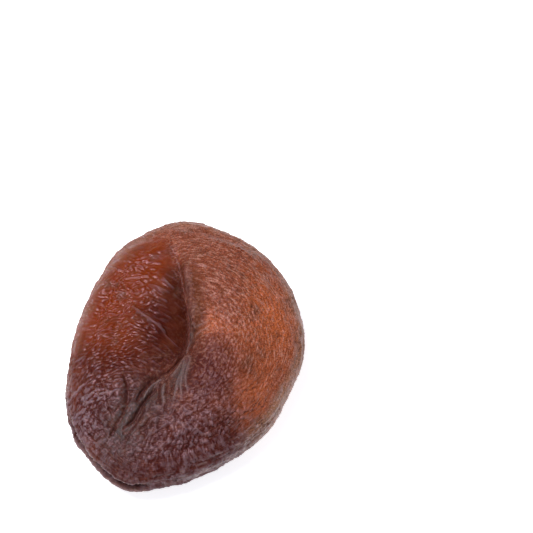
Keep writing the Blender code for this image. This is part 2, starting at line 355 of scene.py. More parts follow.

# Colours of the rim: where the tan and its lines come in, by share of the radius, the values of
# the lines' noise between which they fade, then the latitude, half width and span of the pale
# bead, of the painted shade down in the slit, and of its pale lips.
TAN_FADE = (0.88, 0.98)
LINE_FADE = (0.84, 0.95)
LINE_EDGE = (0.02, 0.08)
PALE_BEAD = (BEAD_LATITUDE + 3, 5.0, BEAD_SPAN)
SLIT_SHADE = (SLIT_LATITUDE, 3.4, SLIT_SPAN)
PALE_LIPS = ((SLIT_LATITUDE + 6, 2.0, SLIT_SPAN), (SLIT_LATITUDE - 7, 2.0, SLIT_SPAN))
# How pale the bead, the lips and the grey ridges are against the lines.
BEAD_PALE = 0.5
LIP_PALE = 0.8
RIDGE_PALE = 0.28

# Gloss of cobbled skin against glassy skin, how matte the crease's edge is and its half width, and
# the share of its felt that is left off under the dark colours and the crease's painted shade.
COBBLED_GLOSS = 0.75
EDGE_MATTE = 0.8
EDGE_WIDTH = 0.8
DARK_BARENESS = 0.6

# Noises of the skin: size in millimetres and detail. Mottle blotches the colours, grain roughens
# the felt, and fleck is its specks.
SKIN_NOISES = (("mottle", 2.6, 4.0), ("grain", 0.30, 2.0), ("fleck", 0.17, 1.0))
GRAIN_RISE = 0.05
# Fibres of the dry cuticle. Real ones are a few hundredths of a millimetre wide, too fine to show
# in the render, so these are drawn as tufts of them.
FIBRE_WIDTH = 0.30
FIBRE_LENGTH = 1.3
FIBRE_RISE = 0.06

# What the mesh tells the material at each point.
SKIN_MARKS = (
    "crest", "glow", "garnet", "amber", "lip", "crease_shade", "rim", "dusk",
    "bloom", "pale", "slit_shade", "gloss", "dull", "gel", "crest_sheen",
)
# Values that follow from one of them or from a noise: its name, the span it is read over, and
# the span that this gives.
SKIN_SPANS = {
    "tuft": ("fibre", 0.50, 0.66, 0.0, 0.60),
    "parting": ("fibre", 0.46, 0.30, 0.0, 0.3),
    # low puts painted shade in the wrinkles' bottoms, kept lighter on glassy flesh.
    "low": ("crest", 0.0, 0.45, 0.7, 0.0),
    "groove_shading": ("gel", 0.0, 1.0, 1.0, 0.3),
    # high is where the painted sheen goes, on the crests.
    "high": ("crest", 0.50, 1.0, 0.0, 1.0),
    "dust": ("crest", 0.2, 0.7, 0.2, 0.9),
    "speck": ("fleck", 0.36, 0.64, 0.62, 1.38),
    "matte": ("gloss", 0.0, 1.0, 0.40, 0.20),
    "clear": ("gel", 0.0, 1.0, 0.2, 1.0),
    "gritty": ("gel", 0.0, 1.0, 0.8, 0.06),
}
# Colours over the flesh that run into each other in blotches, where their mark and the mottle
# together pass this span: the flesh's own, the painted shade down the crease, and the glow and rim
# tan, which are partly painted light.
FLESH_COLOURS = ("glow", "garnet", "amber", "lip", "crease_shade", "rim", "dusk")
BLOTCH_SPAN = (0.56, 1.40)
# Coats over the flesh, each with the two values whose product is its share, and its colour: the
# felt's fibres and the gaps between them, painted shade in the wrinkles' bottoms, painted sheen on
# the crests, sugar bloom on the fan's crests, the rim's dry lines, and painted shade down in the
# slit.
COATS = (
    ("tuft", "dull", "fibre"),
    ("parting", "dull", "groove"),
    ("low", "groove_shading", "groove"),
    ("high", "crest_sheen", "crest"),
    ("dust", "bloom", "bloom"),
    ("pale", 0.7, "pale"),
    ("slit_shade", 0.9, "slit_shade"),
)
# Sockets: a Map Range node's in order, and a Mix node's for colours, which share their names
# with others.
SPAN_SOCKETS = ("Value", "From Min", "From Max", "To Min", "To Max")
SHARE, UNDER, OVER, MIXED = 0, 6, 7, 2

# The photograph's frame: pixels across, pixels per millimetre of the fruit, and the point of the
# floor in its middle, in millimetres right of and behind the fruit's middle.
FRAME_PIXELS = 533
PIXELS_PER_MM = 7.2
VIEW_CENTRE = (10.95, 15.1)
SENSOR = 36.0

# The light: where the soft light stands, in metres, the direction in which the room is brightest,
# how bright it is elsewhere, and the cosines between which it fades.
KEY_PLACE = (-0.18, 0.04, 0.56)
LIGHT_FROM = (-0.37, 0.08, 0.92)
DIM_SHARE = 0.45
DIM_SPAN = (0.5, 0.95)

Site = namedtuple("Site", "x y bearing fall out up upper reach gap place")


def smooth_curve(a, b, c, d, share):
    """The part between b and c of a smooth curve through four evenly spaced values."""
    return b + 0.5 * share * (
        c - a + share * (2 * a - 5 * b + 4 * c - d + share * (3 * (b - c) + d - a))
    )


def around(values, bearing):
    """A size given at even bearings, read at any bearing in radians."""
    place = (bearing / math.tau * len(values)) % len(values)
    step = np.floor(place).astype(int)
    ring = np.asarray(values, float)
    near = (ring[(step + k) % len(values)] for k in (-1, 0, 1, 2))
    return smooth_curve(*near, place - step)


def along(values, place):
    """A size given at a route's points, read at any place along it."""
    line = np.asarray(values, float)
    step = np.clip(place.astype(int), 0, len(values) - 2)
    near = (line[np.clip(step + k, 0, len(values) - 1)] for k in (-1, 0, 1, 2))
    return smooth_curve(*near, place - step)


def follow(points, x, y, steps=8):
    """Signed distance from the smooth curve through points, positive on its left hand as it
    runs, and the place along it.
    """
    place = np.linspace(0, len(points) - 1, (len(points) - 1) * steps + 1)
    curve = np.stack([along(values, place) for values in zip(*points)], 1)
    start, leg = curve[:-1], np.diff(curve, axis=0)
    dx = x[:, None] - start[:, 0]
    dy = y[:, None] - start[:, 1]
    share = np.clip((dx * leg[:, 0] + dy * leg[:, 1]) / (leg**2).sum(1), 0, 1)
    gap = np.hypot(dx - share * leg[:, 0], dy - share * leg[:, 1])
    rows, nearest = np.arange(len(x)), gap.argmin(1)
    side = np.sign(leg[nearest, 0] * dy[rows, nearest] - leg[nearest, 1] * dx[rows, nearest])
    return side * gap[rows, nearest], (nearest + share[rows, nearest]) / steps


def bell(offset, width):
    """1 in the middle, falling smoothly to nothing a few widths away."""
    return np.exp(-((offset / width) ** 2))


def ramp(value, low, high):
    """0 below low, 1 above high, smooth between."""
    share = np.clip((value - low) / (high - low), 0, 1)
    return share * share * (3 - 2 * share)


def stretch(value, start, full, fading, end):
    """0 up to start, 1 from full to fading, 0 again from end on, smooth between."""
    return ramp(value, start, full) * (1 - ramp(value, fading, end))


def patch(x, y, centre, widths, turn):
    """A bell over the plan with two half widths, turned by some degrees."""
    c, s = math.cos(math.radians(turn)), math.sin(math.radians(turn))
    dx, dy = x - centre[0], y - centre[1]
    return bell(dx * c + dy * s, widths[0]) * bell(dy * c - dx * s, widths[1])


def lobe(level, swells, x, y):
    """Height of one lobe over the plan, without the crease."""
    return level + sum(rise * patch(x, y, *where) for rise, *where in swells)


def crown(x, y, gap, place):
    """Height of the upper skin over the plan: two lobes, and the crease between them."""
    left = lobe(LEFT_LEVEL, LEFT_SWELLS, x, y)
    right = lobe(RIGHT_LEVEL, RIGHT_SWELLS, x, y)
    floor = (left + right) / 2 - along(CREASE_DEPTHS, place)
    wall = np.where(gap < 0, along(LEFT_WALLS, place), along(RIGHT_WALLS, place))
    inside = np.exp(-(np.abs(gap / wall) ** WALL_POWER))
    height = np.where(gap < 0, left, right)
    return height + (floor - height) * inside


def fold_depth(x, y):
    """How deep the single folds press into the upper skin. A ridge's depth is negative."""
    depth = np.zeros_like(x)
    for fold, width, points in FOLDS:
        gap, place = follow(points, x, y)
        last = len(points) - 1
        depth += fold * stretch(place, 0, FOLD_FADE, last - FOLD_FADE, last) * bell(gap, width)
    return depth


def pleats(site, spacing, length):
    """Smooth wrinkles, long alongside the rim: -1 to 1."""
    return np.array([
        noise.noise(Vector((r * math.cos(b) / length, r * math.sin(b) / length, r * f / spacing)))
        for b, f, r in zip(site.bearing, site.fall, site.reach)
    ])


def survey(u, v, w, pull):
    """Where each point of a cube from -1 to 1 each way lies on the fruit, seen from above."""
    round_x = u * np.sqrt(1 - CORNERING * v * v / 2)
    round_y = v * np.sqrt(1 - CORNERING * u * u / 2)
    bearing = np.arctan2(round_y, round_x)
    # Fall is the angle from straight up at the crown, over the rim, to straight down.
    top = np.arcsin((TOP_SHARE * np.hypot(round_x, round_y)) ** (ROUNDING / 2))
    side = top + (math.pi - 2 * top) * (1 - w) / 2
    fall = np.where(w > FACE_LEVEL, top, np.where(w < -FACE_LEVEL, math.pi - top, side))
    out = np.abs(np.sin(fall)) ** (2 / ROUNDING)
    up = np.abs(np.cos(fall)) ** (2 / ROUNDING)
    upper = fall < math.pi / 2
    reach = around(RIM_RADII, bearing)
    x, y = reach * out * np.cos(bearing), reach * out * np.sin(bearing)
    route_x, route_y = np.transpose(CREASE_ROUTE)[:, ::-1]
    off = x - np.interp(y, route_y, route_x)
    x = x - pull * off * bell(off, PULL_WIDTH) * up * upper
    gap, place = follow(CREASE_ROUTE, x, y)
    return Site(x, y, bearing, fall, out, up, upper, reach, gap, place)


def rim_band(site, latitude, width, span):
    """1 along the middle of a band of the rim, fading to its edges and to its two ends."""
    turn = np.degrees(site.bearing) % 360
    first, middle, last = span
    share = stretch(turn, first, (first + middle) / 2, (middle + last) / 2, last)
    return share * bell(90 - np.degrees(site.fall) - latitude, width)


def fruit(site):
    """Points of the skin's large form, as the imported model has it."""
    x, y = site.x, site.y
    rim = around(RIM_HEIGHTS, site.bearing)
    top_height = crown(x, y, site.gap, site.place) - fold_depth(x, y)
    from_rest = np.hypot(x - REST_CENTRE[0], y - REST_CENTRE[1])
    clear_of_rest = ramp(from_rest, *REST_FADE)
    under_height = UNDER_RISE * ramp(from_rest, *UNDER_SPAN) - UNDER_SINK
    under_height += UNDER_FURROW * bell(site.gap, FURROW_WIDTH) * clear_of_rest
    top, under = rim + (top_height - rim) * site.up, rim - (rim - under_height) * site.up
    z = np.where(site.upper, top, under)

    # The slit, its lips and the bead stand across the rim's outward direction.
    push = -sum(depth * rim_band(site, *where) for depth, *where in RIM_FOLDS)
    wave = SWELL_HEIGHT * pleats(site, SWELL_SPACING, SWELL_LENGTH)
    wave *= np.where(site.upper, ramp(site.out, *SWELL_FADE), clear_of_rest)
    outward = push + wave * np.sin(site.fall)
    x, y = x + outward * np.cos(site.bearing), y + outward * np.sin(site.bearing)
    z = z + wave * np.cos(site.fall)

    # The lip of the right lobe leans over the crease.
    x = x - along(LIP_LEANS, site.place) * bell(site.gap - LIP_PLACE, LIP_WIDTH) * site.upper
    return np.stack((x, y, z), 1)


def rim_share(site, fade):
    """0 on the upper skin, 1 on the rim and under it. It comes in between two shares of radius."""
    return np.where(site.upper, ramp(site.out, *fade), 1.0)


def cube_grid(across, rows):
    """A cube whose faces are even grids: across by across on top, across by rows on the sides."""
    grid = bmesh.new()
    bmesh.ops.create_cube(grid, size=2.0)
    upright = [e for e in grid.edges if abs(e.verts[0].co.z - e.verts[1].co.z) > 1]
    bmesh.ops.subdivide_edges(grid, edges=upright, cuts=rows - 1, use_grid_fill=True)
    level = [e for e in grid.edges if abs(e.verts[0].co.z - e.verts[1].co.z) < 0.001]
    bmesh.ops.subdivide_edges(grid, edges=level, cuts=across - 1, use_grid_fill=True)
    return grid


def unit(vectors):
    """The vectors at length 1."""
    return vectors / np.maximum(np.linalg.norm(vectors, axis=1, keepdims=True), 1e-9)


def normals_of(points, quads):
    """Outward direction at each point of a mesh of four-sided faces."""
    a, b, c, d = (points[quads[:, k]] for k in range(4))
    face = np.cross(c - a, d - b)
    total = np.zeros_like(points)
    for k in range(4):
        np.add.at(total, quads[:, k], face)
    return unit(total)


def neighbours_of(quads, count):
    """The eight points that share a face with each point. Where there are fewer, the point
    itself fills the row.
    """
    pairs = np.concatenate([quads[:, (k, j)] for k in range(4) for j in range(4) if j != k])
    keys = np.unique(pairs[:, 0].astype(np.int64) * count + pairs[:, 1])
    owner, other = keys // count, keys % count
    first = np.searchsorted(owner, np.arange(count))
    near = np.repeat(np.arange(count)[:, None], 8, 1)
    near[owner, np.arange(len(owner)) - first[owner]] = other
    return near


def edge_blur(site):
    """How much softer the edge between the lobes' skins is, by place along the crease."""
    return EDGE_BLUR * ramp(site.y, *BLUR_FADE)


def skin_shares(site):
    """Share of each kind of fine skin at each point. The shares add up to 1."""
    x, y = site.x, site.y
    top = site.upper * (1 - ramp(site.out, *TOP_FADE))
    over = 1 - ramp(site.fall, *OVER_FADE)
    blur = edge_blur(site)
    near, far = GLASSY_EDGE
    left = ramp(-site.gap, near - blur, far + blur) * (1 - ramp(y, *GLASSY_END))
    glassy = np.minimum(1, GLASSY_FULLNESS * patch(x, y, *GLASSY_REGION))
    fanned = np.minimum(1, FANNED_FULLNESS * patch(x, y, *FANNED_REGION))
    cobbled = np.minimum(1, sum(patch(x, y, *where) for where in COBBLED_REGIONS))
    weights = {
        GLASSY: GLASSY_CLAIM * top * left * glassy,
        FANNED: FANNED_CLAIM * top * fanned * (1 - ramp(y, *FAN_END)),
        COBBLED: COBBLED_CLAIM * over * cobbled,
        FELTED: FELTED_CLAIM * np.ones_like(x),
    }
    total = sum(weights.values())
    return {kind: weight / total for kind, weight in weights.items()}


def ripple(points, size, layer):
    """Smooth noise of patches of a size, -1 to 1. Each layer is a pattern of its own."""
    shift = Vector((7.3, 3.1, 5.7)) * layer
    return np.array([noise.noise(Vector(p) + shift) for p in (points / size).tolist()])


def cells(points, size):
    """Height of flat-topped cells with grooves between them, as leathery skin dries."""
    noise.seed_set(CELL_SEED)  # vector noise would otherwise take its seed from the clock
    height = np.empty(len(points))
    (often, far), (oftener, less) = CELL_WARPS
    for k, p in enumerate((points / size).tolist()):
        spot = Vector(p)
        wander = noise.noise_vector(spot * often), noise.noise_vector(spot * oftener)
        spot = spot + far * wander[0] + less * wander[1]
        (near, second, *_), (middle, *_) = noise.voronoi(spot)
        groove = min(1.0, (second - near) / GROOVE_SHARE)
        tip = noise.noise_vector(middle * 3.7).dot(spot - middle)
        level = noise.noise(middle * 5.3)
        height[k] = CELL_HEIGHT * groove * (2 - groove) + CELL_STEP * level + CELL_TIP * size * tip
    return height


def arch_angle(x, y):
    """The way the left lobe's wrinkles run: arches over its lower part, flatter further down."""
    rise = np.maximum(y - ARCH_CENTRE[1], ARCH_LEAST)
    return np.arctan2(x - ARCH_CENTRE[0], -rise) + math.pi


def fan_angle(x, y):
    """The way the fan's wrinkles run: out from the pit."""
    return np.arctan2(y - PIT[1], x - PIT[0])


def skin_grain(site, shares, turn):
    """The way the fine wrinkles run, as a direction over the plan."""
    runs = (
        (shares[FELTED], site.bearing + math.pi / 2),
        (shares[GLASSY], arch_angle(site.x, site.y)),
        (shares[FANNED] + COBBLED_PULL * shares[COBBLED], fan_angle(site.x, site.y)),
    )
    # Angles are doubled while they are mixed, because a wrinkle has no front and back.
    double_x = sum(share * np.cos(2 * angle) for share, angle in runs)
    double_y = sum(share * np.sin(2 * angle) for share, angle in runs)
    angle = np.arctan2(double_y, double_x) / 2 + turn
    return np.stack((np.cos(angle), np.sin(angle), np.zeros_like(angle)), 1)


def strew(kind, angle_at, rng):
    """Short folds at random places of a region, kept apart, each along the skin's grain."""
    centre, widths, turn = kind.region
    c, s = math.cos(math.radians(turn)), math.sin(math.radians(turn))
    placed, folds = np.empty((0, 3)), []
    for _ in range(kind.tries):
        a, b = rng.normal(0, STREWN_SPREAD, 2) * widths
        x, y = centre[0] + a * c - b * s, centre[1] + a * s + b * c
        length, bend = rng.uniform(*kind.length), rng.normal(0, BEND_SPREAD, 2)
        rise, width = rng.uniform(*kind.rise), rng.uniform(*kind.width)
        angle = float(angle_at(x, y)) + bend[0]
        dx, dy = placed[:, 0] - x, placed[:, 1] - y
        run = np.abs(dx * math.cos(angle) + dy * math.sin(angle))
        run = run / ((length + placed[:, 2]) / 2 + STREWN_CLEAR)
        off = np.abs(dy * math.cos(angle) - dx * math.sin(angle)) / kind.apart
        if np.any(np.maximum(run, off) < 1):
            continue
        placed = np.vstack((placed, (x, y, length)))
        # Two legs each way from the middle, each a little more turned.
        route = [(x, y)]
        for way in (-1, 1):
            px, py = x, y
            for step in range(2):
                turned = float(angle_at(px, py)) + bend[0] + way * (step + 1) * bend[1]
                px += way * length / 4 * math.cos(turned)
                py += way * length / 4 * math.sin(turned)
                route.insert(0 if way < 0 else len(route), (px, py))
        folds.append((-rise, width, route))
    return folds


def emboss(folds, site):
    """Height of fine folds over the upper skin. Each works only on the points within three half
    widths of it, where its bell still shows.
    """
    height = np.zeros_like(site.x)
    for depth, width, points in folds:
        low, high = np.min(points, 0) - 3 * width, np.max(points, 0) + 3 * width
        close = site.upper & (site.x > low[0]) & (site.x < high[0])
        close &= (site.y > low[1]) & (site.y < high[1])
        gap, place = follow(points, site.x[close], site.y[close], 4)
        last = len(points) - 1
        taper = stretch(place, 0, FINE_FADE, last - FINE_FADE, last)
        height[close] -= depth * taper * bell(gap, width)
    return height


def grey_ridges(site):
    """1 along the middle of the thin grey ridges, falling to nothing beside them."""
    return np.clip(emboss([(-1.0, GREY_RIDGE_WIDTH, route) for route in GREY_RIDGES], site), 0, 1)


def bending(points, near, normal, grain, spacing, stretch):
    """Weights over a point's neighbours that sum to the skin's curvature across and along the
    grain, in units of the wrinkle spacing.
    """
    run = unit(grain - (grain * normal).sum(1, keepdims=True) * normal)
    across = np.cross(normal, run)
    step = points[near] - points[:, None]
    scale = np.linalg.norm(step, axis=2).mean(1)
    a = np.einsum("nkc,nc->nk", step, across) / scale[:, None]
    b = np.einsum("nkc,nc->nk", step, run) / scale[:, None]
    rows = np.stack((a, b, a * a / 2, a * b, b * b / 2), 1)
    wanted = np.zeros((len(points), 5))
    wanted[:, 2] = (spacing / math.tau / scale) ** 2
    wanted[:, 4] = wanted[:, 2] * stretch**2
    # The little that is added keeps rows solvable where some of their points are the same.
    square = rows @ rows.transpose(0, 2, 1) + 1e-6 * np.eye(5)
    weights = np.einsum("nrk,nr->nk", rows, np.linalg.solve(square, wanted[..., None])[..., 0])
    size = np.abs(weights).sum(1, keepdims=True)
    return (weights * np.minimum(1, STIFFNESS_LIMIT / size)).astype(np.float32)


def grow_wrinkles(weights, near, drive, lumpy):
    """Buckles the skin from a faint random start: -1 in the grooves to 1 on the crests."""
    rng = np.random.default_rng(GROWTH_SEED)
    rough = (ROUGH_START * rng.standard_normal(len(near))).astype(np.float32)
    drive, lumpy = drive.astype(np.float32), lumpy.astype(np.float32)
    level = rough
    centre = 1 - weights.sum(1)

    def bent(values):
        return centre * values + np.einsum("nk,nk->n", weights, values[near])

    for _ in range(GROWTH_STEPS):
        push = rough + level * (drive + level * (lumpy - level))
        level = level + GROWTH_STEP * (push - bent(bent(level)))
    return np.clip(level, -1, 1)


def patches(regions, site, last_fall=LAST_FALL):
    """Strength of a colour over the skin, from its patches. It fades over the rim."""
    missing = 1.0
    for strength, *where in regions:
        missing = missing * (1 - strength * patch(site.x, site.y, *where))
    return (1 - missing) * (1 - ramp(site.fall, last_fall - FALL_FADE, last_fall))


def fine_relief(form, normal, quads, site, shares, hidden):
    """Height of the fine skin over the large form, in two parts: wrinkles, and softer lumps."""
    awake = np.nonzero(~hidden)[0]
    index = np.full(len(form), -1)
    index[awake] = np.arange(len(awake))
    near = index[neighbours_of(quads, len(form))[awake]]
    near = np.where(near < 0, np.arange(len(awake))[:, None], near)

    def sizes(field):
        return sum(share * getattr(kind, field) for kind, share in shares.items())[awake]

    spot = form[awake]
    spacing = sizes("spacing") * (1 + SPACING_SPREAD * ripple(spot, SPACING_PATCH, 1))
    turn = np.zeros(len(form))
    turn[awake] = TURN_SPREAD * ripple(spot, TURN_PATCH, 2)
    grain = skin_grain(site, shares, turn)[awake]
    weights = bending(spot, near, normal[awake], grain, spacing, sizes("stretch"))
    drive = sizes("drive") + DRIVE_SPREAD * ripple(spot, DRIVE_PATCH, 3)
    crest = (grow_wrinkles(weights, near, drive, sizes("lumpy")).astype(float) + 1) / 2
    grown = np.zeros(len(form))
    grown[awake] = sizes("height") * (crest ** sizes("narrowness") - 0.5)
    grown *= 1 - bell(site.gap - WALL_CALM[0], WALL_CALM[1]) * shares[GLASSY]
    grown *= 1 - RIM_CALM * rim_share(site, RIM_CALM_FADE)

    rng = np.random.default_rng(STREWN_SEED)
    strewn = strew(RIDGES, arch_angle, rng) + strew(CRACKS, fan_angle, rng)
    folded = emboss(FINE_FOLDS, site) + emboss(strewn, site) * (1 - bell(site.gap, STREWN_CALM))
    folded += GREY_RIDGE_HEIGHT * grey_ridges(site)
    ridged = 0.5 - 2 * np.abs(pleats(site, PLEAT_SPACING, PLEAT_LENGTH))
    folded += PLEAT_HEIGHT * (rim_share(site, PLEAT_FADE) * ~hidden) * ridged

    lumpy = np.zeros(len(form))
    lumpy[awake] = LUMP_HEIGHT * ripple(spot, LUMP_SIZE, 4) * (1 - shares[GLASSY][awake])
    folded[awake] += (cells(spot, CELL_SIZE) - CELL_HEIGHT / 2) * shares[COBBLED][awake]
    lumpy[awake] += GRIT_HEIGHT * ripple(spot, GRIT_SIZE, 5) * shares[FELTED][awake]
    return grown + folded, lumpy


def skin_marks(site, shares, wrinkled):
    """What the mesh tells the material at each point, each mark from 0 to 1."""
    gap, gel = site.gap, shares[GLASSY]
    blur = edge_blur(site)
    left = ramp(-gap, LEFT_EDGE[0] - blur, LEFT_EDGE[1] + blur)
    dusk = patches(DUSK_PATCHES, site, DUSK_FALL)
    garnet = patches(GARNET_PATCHES, site) * np.where(site.y > GARNET_SPLIT, left, 1)
    lip = bell(gap - LIP_GAP, LIP_SPREAD) * stretch(site.y, *LIP_ENDS) * site.upper
    # Painted shade down in the crease, on its left side.
    crease_shade = bell(gap, CREASE_SHADE_WIDTH) * stretch(site.y, *CREASE_SHADE_ENDS) * left

    # Tan of the rim: partly dry skin, partly painted light, strongest at the front right.
    tan_and_light = rim_share(site, TAN_FADE) * around(RIM_TAN_AND_LIGHT, site.bearing)
    lines = 1 - ramp(np.abs(pleats(site, LINE_SPACING, LINE_LENGTH)), *LINE_EDGE)
    lines *= rim_share(site, LINE_FADE)
    pale = rim_band(site, *PALE_BEAD) * (BEAD_PALE + lines) + tan_and_light * lines
    pale += LIP_PALE * sum(rim_band(site, *band) for band in PALE_LIPS)
    pale += RIDGE_PALE * grey_ridges(site)

    gloss = np.clip(gel + COBBLED_GLOSS * shares[COBBLED], 0, 1)
    gloss *= 1 - EDGE_MATTE * bell(gap, EDGE_WIDTH)
    # Painted sheen on the crests: a pinkish highlight put into the colour.
    crest_sheen = CREST_SHEEN + LEATHERY_SHEEN * dusk + GLASSY_SHEEN * gel
    return {
        "crest": np.clip(0.5 + wrinkled / CREST_SPAN, 0, 1),
        # Painted glow of light through the thin flesh, over its own orange.
        "glow": patches(GLOW_PATCHES, site),
        "amber": patches(AMBER_PATCHES, site) * left,
        "garnet": garnet,
        "lip": lip,
        "crease_shade": crease_shade,
        "dusk": dusk,
        "rim": np.clip(tan_and_light, 0, 1),
        "bloom": patches(BLOOM_PATCHES, site),
        "pale": np.clip(pale, 0, 1),
        # Painted shade down in the slit.
        "slit_shade": rim_band(site, *SLIT_SHADE),
        "gloss": gloss,
        "dull": (1 - gloss) * (1 - DARK_BARENESS * np.max((dusk, garnet, lip, crease_shade), 0)),
        "gel": gel,
        "crest_sheen": crest_sheen + patches(SHEEN_PATCHES, site),
    }


def make_skin_mesh(across, rows, wrinkle_share):
    """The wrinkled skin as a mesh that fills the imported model's box, with its marks."""
    grid = cube_grid(across, rows)
    cube = np.array([v.co for v in grid.verts])
    mesh = bpy.data.meshes.new("apricot_skin")
    grid.to_mesh(mesh)
    grid.free()
    quads = np.empty(len(mesh.polygons) * 4, np.int32)
    mesh.loops.foreach_get("vertex_index", quads)
    quads = quads.reshape(-1, 4)

    site = survey(*cube.T, CREASE_PULL)
    form = fruit(site)
    normal = normals_of(form, quads)
    shares = skin_shares(site)
    hidden = cube[:, 2] < -FACE_LEVEL
    wrinkled, lumpy = fine_relief(form, normal, quads, site, shares, hidden)
    skin = form + normal * (wrinkle_share * (wrinkled + lumpy))[:, None]
    skin[:, 2] = np.maximum(skin[:, 2], 0)

    low, high = (np.array(corner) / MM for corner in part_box(NODE))
    skin = low + (skin - skin.min(0)) * (high - low) / (skin.max(0) - skin.min(0))
    mesh.vertices.foreach_set("co", (skin * MM).astype(np.float32).ravel())
    for name, values in skin_marks(site, shares, wrinkled).items():
        layer = mesh.attributes.new(name, "FLOAT", "POINT")
        layer.data.foreach_set("value", values.astype(np.float32))
    layer = mesh.attributes.new("under", "FLOAT", "POINT")
    layer.data.foreach_set("value", hidden.astype(np.float32))
    # Round the rim and down it, for the fibres that lie along it.
    lay = np.stack((np.cos(site.bearing), np.sin(site.bearing), site.fall), 1)
    lay *= site.reach[:, None] * MM
    layer = mesh.attributes.new("lay", "FLOAT_VECTOR", "POINT")
    layer.data.foreach_set("vector", lay.astype(np.float32).ravel())
    return mesh


def thin_underside(mesh):
    """Leaves a coarser grid on the face that lies down, where nothing fine can be seen."""
    grid = bmesh.new()
    grid.from_mesh(mesh)
    under = grid.verts.layers.float["under"]
    inner = [v for v in grid.verts if all(n[under] > 0.5 for e in v.link_edges for n in e.verts)]
    bmesh.ops.unsubdivide(grid, verts=inner, iterations=UNDER_THINNING)
    grid.to_mesh(mesh)
    grid.free()
    mesh.attributes.remove(mesh.attributes["under"])


def linear(code, alpha=1.0):
    """An sRGB hex colour as the linear values that shaders and lights take."""
    parts = [int(code[k : k + 2], 16) / 255 for k in (1, 3, 5)]
    return (*(p / 12.92 if p <= 0.04045 else ((p + 0.055) / 1.055) ** 2.4 for p in parts), alpha)


def add(tree, kind, inputs=(), **settings):
    """Adds a node, sets its settings, and fills its inputs with values or links."""
    made = tree.nodes.new(kind)
    for name, value in settings.items():
        setattr(made, name, value)
    for name, value in dict(inputs).items():
        if isinstance(value, bpy.types.NodeSocket):
            tree.links.new(value, made.inputs[name])
        else:
            made.inputs[name].default_value = value
    return made


def dried_skin_material(settings):
    """Sun-dried apricot skin: sugary flesh gone glassy brown under a thin leathery cuticle.

    Light enters it and comes back orange, so the dips glow and stay saturated. The crests get a
    painted pinkish sheen, a highlight put into the colour, and sugar bloom greys the folds below
    the pit. Painted shade darkens the wrinkles' bottoms, the crease and the slit, and painted
    light brightens the thin flesh's glow and part of the rim. The glints take the cuticle's
    pinkish tint.
    """
    material = bpy.data.materials.new("sun_dried_apricot_skin")
    material.use_nodes = True
    tree = material.node_tree
    tree.nodes.clear()
    values = {
        name: add(tree, "ShaderNodeAttribute", attribute_name=name).outputs["Fac"]
        for name in SKIN_MARKS
    }
    place = add(tree, "ShaderNodeTexCoord").outputs["Object"]
    for name, size, detail in SKIN_NOISES:
        inputs = {"Vector": place, "Scale": 1 / (size * MM), "Detail": detail}
        values[name] = add(tree, "ShaderNodeTexNoise", inputs).outputs["Fac"]

    # The fibres lie along the rim.
    lay = add(tree, "ShaderNodeAttribute", attribute_name="lay").outputs["Vector"]
    counts = Vector((1 / FIBRE_LENGTH, 1 / FIBRE_LENGTH, 1 / FIBRE_WIDTH)) / MM
    drawn = add(tree, "ShaderNodeVectorMath", {0: lay, 1: counts}, operation="MULTIPLY")
    inputs = {"Vector": drawn.outputs["Vector"], "Scale": 1.0, "Detail": 1.0}
    values["fibre"] = add(tree, "ShaderNodeTexNoise", inputs).outputs["Fac"]

    for name, (source, *spans) in SKIN_SPANS.items():
        inputs = dict(zip(SPAN_SOCKETS, (values[source], *spans)))
        values[name] = add(tree, "ShaderNodeMapRange", inputs).outputs["Result"]
    coats = []
    for name in FLESH_COLOURS:
        blotchy = add(tree, "ShaderNodeMath", {0: values[name], 1: values["mottle"]}).outputs[0]
        inputs = dict(zip(SPAN_SOCKETS, (blotchy, *BLOTCH_SPAN, 0.0, 1.0)))
        coats.append((add(tree, "ShaderNodeMapRange", inputs).outputs["Result"], 1.0, name))
    coats += [(values[one], values.get(other, other), name) for one, other, name in COATS]
    base = settings.flesh_brown
    for one, other, name in coats:
        share = add(tree, "ShaderNodeMath", {0: one, 1: other}, operation="MULTIPLY").outputs[0]
        inputs = {SHARE: share, UNDER: base, OVER: getattr(settings, name + "_colour")}
        base = add(tree, "ShaderNodeMix", inputs, data_type="RGBA").outputs[MIXED]

    # Specks of the cuticle lighten and darken what lies under them. Glassy flesh has few.
    inputs = {SHARE: values["dull"], UNDER: base, OVER: values["speck"]}
    mixed = add(tree, "ShaderNodeMix", inputs, data_type="RGBA", blend_type="MULTIPLY")

    below = {}
    for height, strength, rise in (("grain", "gritty", GRAIN_RISE), ("fibre", "dull", FIBRE_RISE)):
        inputs = {"Height": values[height], "Strength": values[strength], "Distance": rise * MM}
        below = {"Normal": add(tree, "ShaderNodeBump", {**inputs, **below}).outputs["Normal"]}
    shader = add(
        tree,
        "ShaderNodeBsdfPrincipled",
        {
            **below,
            "Base Color": mixed.outputs[MIXED],
            "Roughness": values["matte"],
            "IOR": 1.48,  # thick sugar syrup
            "Specular IOR Level": 0.25,
            "Specular Tint": linear("#E8BECC"),
            # Light goes deep into glassy flesh, and hardly into the dry cuticle.
            "Subsurface Weight": values["clear"],
            "Subsurface Radius": (1.0, 0.32, 0.12),
            "Subsurface Scale": 0.28 * MM,
        },
    )
    add(tree, "ShaderNodeOutputMaterial", {"Surface": shader.outputs[0]})
    return material


def paper_material(settings):
    """Matte white background paper: no gloss, so the fruit stands on it without a reflection."""
    material = bpy.data.materials.new("white_background_paper")
    material.use_nodes = True
    tree = material.node_tree
    shader = tree.nodes["Principled BSDF"]
    shader.inputs["Base Color"].default_value = settings.paper_white
    shader.inputs["Roughness"].default_value = 0.9
    shader.inputs["Specular IOR Level"].default_value = 0.0
    shader.inputs["Emission Color"].default_value = settings.paper_white
    shader.inputs["Emission Strength"].default_value = settings.paper_glow
    return material


